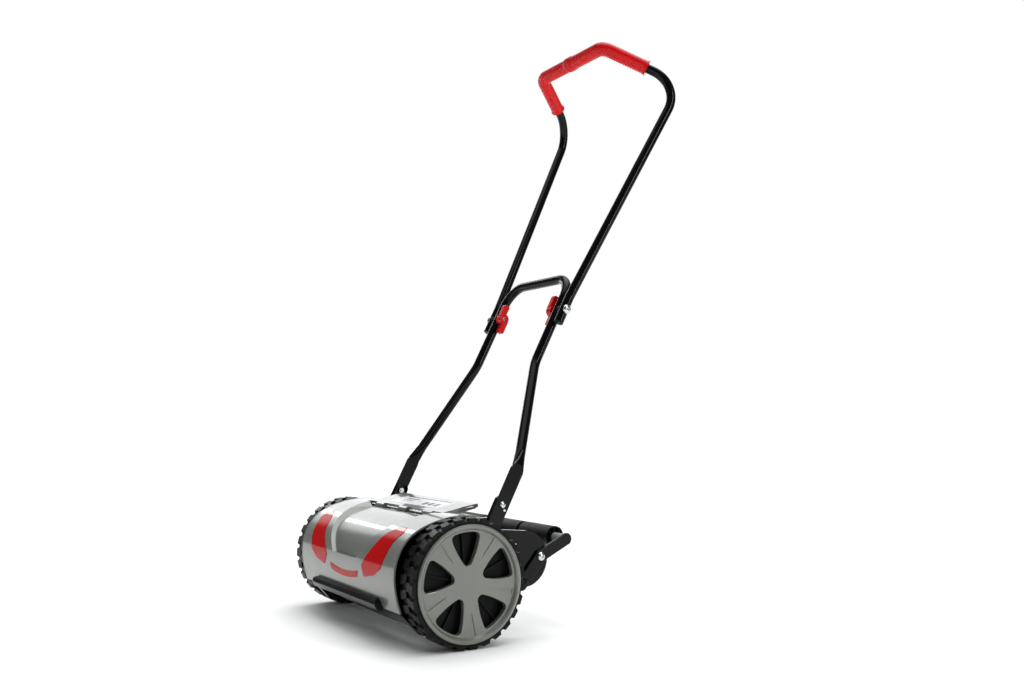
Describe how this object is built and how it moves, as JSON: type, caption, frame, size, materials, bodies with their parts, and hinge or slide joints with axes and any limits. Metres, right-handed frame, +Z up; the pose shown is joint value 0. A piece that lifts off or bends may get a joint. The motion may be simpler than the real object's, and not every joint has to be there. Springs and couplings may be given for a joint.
{
  "type": "reel mower",
  "caption": "Hand-pushed reel mower: geared wheels turn a helical-bladed reel under a silver hood; folding tube handle with red grips, wing knobs and a height-setting rear roller.",
  "frame": {"origin": "on the ground, midway between the wheels and straight below their axles", "axes": "+X the mower's right, +Y its rear, +Z up; it is pushed towards -Y"},
  "size_m": [0.532, 0.647, 1.1633],
  "materials": {
    "tyre_rubber": "matt black moulded rubber",
    "black_plastic": "satin black moulded plastic",
    "gloss_black": "gloss black moulded plastic",
    "silver_paint": "satin metallic grey-silver paint on moulded plastic",
    "red_gloss": "gloss red moulded plastic",
    "red_grip": "satin red soft plastic",
    "black_steel": "gloss black powder-coated steel",
    "blade_steel": "ground hardened steel",
    "plain_steel": "zinc-plated steel",
    "chrome_screw": "bright plated steel",
    "green_black_gear": "glass-filled nylon",
    "bronze_bush": "sintered bronze",
    "grey_plastic": "light grey moulded plastic",
    "label_panel": "pale blank panel with a dark border"
  },
  "bodies": {
    "chassis": {"side_plate_left": "black_steel", "side_plate_right": "black_steel", "hood": "silver_paint", "hood_insert_left": "red_gloss", "hood_insert_right": "red_gloss", "hood_insert_centre": "red_gloss", "front_bumper": "gloss_black", "hood_screws": "plain_steel", "tie_rods": "plain_steel", "tie_rod_nuts": "plain_steel", "flap_rod": "plain_steel", "bed_bar": "black_steel", "bed_knife": "blade_steel", "bed_knife_screws": "plain_steel", "bed_bar_bolts": "plain_steel", "axle_bolts": "plain_steel", "axle_washers": "plain_steel", "axle_clips": "plain_steel", "reel_bearings": "bronze_bush", "lower_handle": "black_steel", "leg_screws": "chrome_screw", "leg_nuts": "plain_steel", "leg_locating_pips": "chrome_screw", "handle_bolts": "chrome_screw", "arm_pivot_screws": "chrome_screw", "arm_pivot_nuts": "plain_steel"},
    "wheel_right": {"wheel_right": "black_plastic", "tyre_right": "tyre_rubber", "ring_gear_right": "black_plastic", "wheel_cover_right": "silver_paint"},
    "wheel_left": {"wheel_left": "black_plastic", "tyre_left": "tyre_rubber", "ring_gear_left": "black_plastic", "wheel_cover_left": "silver_paint"},
    "reel": {"reel_shaft": "plain_steel", "reel_blades": "blade_steel", "reel_spiders": "black_steel", "drive_pawls": "plain_steel", "pinion_clips": "plain_steel"},
    "pinion_right": {"pinion_right": "green_black_gear"},
    "pinion_left": {"pinion_left": "green_black_gear"},
    "upper_handle": {"upper_handle": "black_steel", "grip_left": "red_grip", "grip_right": "red_grip", "saddle_washers": "black_plastic", "tube_plugs": "black_plastic"},
    "knob_right": {"wing_knob_right": "red_grip"},
    "knob_left": {"wing_knob_left": "red_grip"},
    "roller_arms": {"roller_arm_left": "black_steel", "roller_arm_right": "black_steel", "roller_axle": "plain_steel", "roller_spacers": "grey_plastic", "arm_lock_screws": "chrome_screw", "arm_lock_nuts": "plain_steel"},
    "roller": {"roller_drums": "black_plastic", "roller_core": "black_plastic"},
    "rear_flap": {"rear_flap": "silver_paint", "flap_label": "label_panel"}
  },
  "joints": [
    {"name": "wheel_right_spin", "type": "hinge", "parent": "chassis", "child": "wheel_right", "pos_m": [0.24, 0, 0.108], "axis": [1, 0, 0], "continuous": true},
    {"name": "wheel_left_spin", "type": "hinge", "parent": "chassis", "child": "wheel_left", "pos_m": [-0.24, 0, 0.108], "axis": [1, 0, 0], "continuous": true},
    {"name": "reel_spin", "type": "hinge", "parent": "chassis", "child": "reel", "pos_m": [0, -0.03901, 0.08362], "axis": [1, 0, 0], "continuous": true},
    {"name": "pinion_right_spin", "type": "hinge", "parent": "chassis", "child": "pinion_right", "pos_m": [0.227, -0.03901, 0.08362], "axis": [1, 0, 0], "continuous": true},
    {"name": "pinion_left_spin", "type": "hinge", "parent": "chassis", "child": "pinion_left", "pos_m": [-0.227, -0.03901, 0.08362], "axis": [1, 0, 0], "continuous": true},
    {"name": "handle_fold", "type": "hinge", "parent": "chassis", "child": "upper_handle", "pos_m": [0, 0.28649, 0.59267], "axis": [1, 0, 0], "range_deg": [-105, 135]},
    {"name": "knob_right_turn", "type": "hinge", "parent": "chassis", "child": "knob_right", "pos_m": [0.094, 0.28649, 0.59267], "axis": [1, 0, 0], "range_deg": [-360, 360]},
    {"name": "knob_left_turn", "type": "hinge", "parent": "chassis", "child": "knob_left", "pos_m": [-0.094, 0.28649, 0.59267], "axis": [1, 0, 0], "range_deg": [-360, 360]},
    {"name": "roller_height", "type": "hinge", "parent": "chassis", "child": "roller_arms", "pos_m": [0, 0.178, 0.134], "axis": [1, 0, 0], "range_deg": [-70, 0]},
    {"name": "roller_spin", "type": "hinge", "parent": "roller_arms", "child": "roller", "pos_m": [0, 0.235, 0.161], "axis": [1, 0, 0], "continuous": true},
    {"name": "rear_flap_lift", "type": "hinge", "parent": "chassis", "child": "rear_flap", "pos_m": [0, 0.008, 0.2085], "axis": [1, 0, 0], "range_deg": [0, 70]}
  ],
  "couplings": [
    {"joint": "reel_spin", "follows": "wheel_right_spin", "ratio": 4.2857},
    {"joint": "pinion_right_spin", "follows": "wheel_right_spin", "ratio": 4.2857},
    {"joint": "pinion_left_spin", "follows": "wheel_left_spin", "ratio": 4.2857}
  ]
}
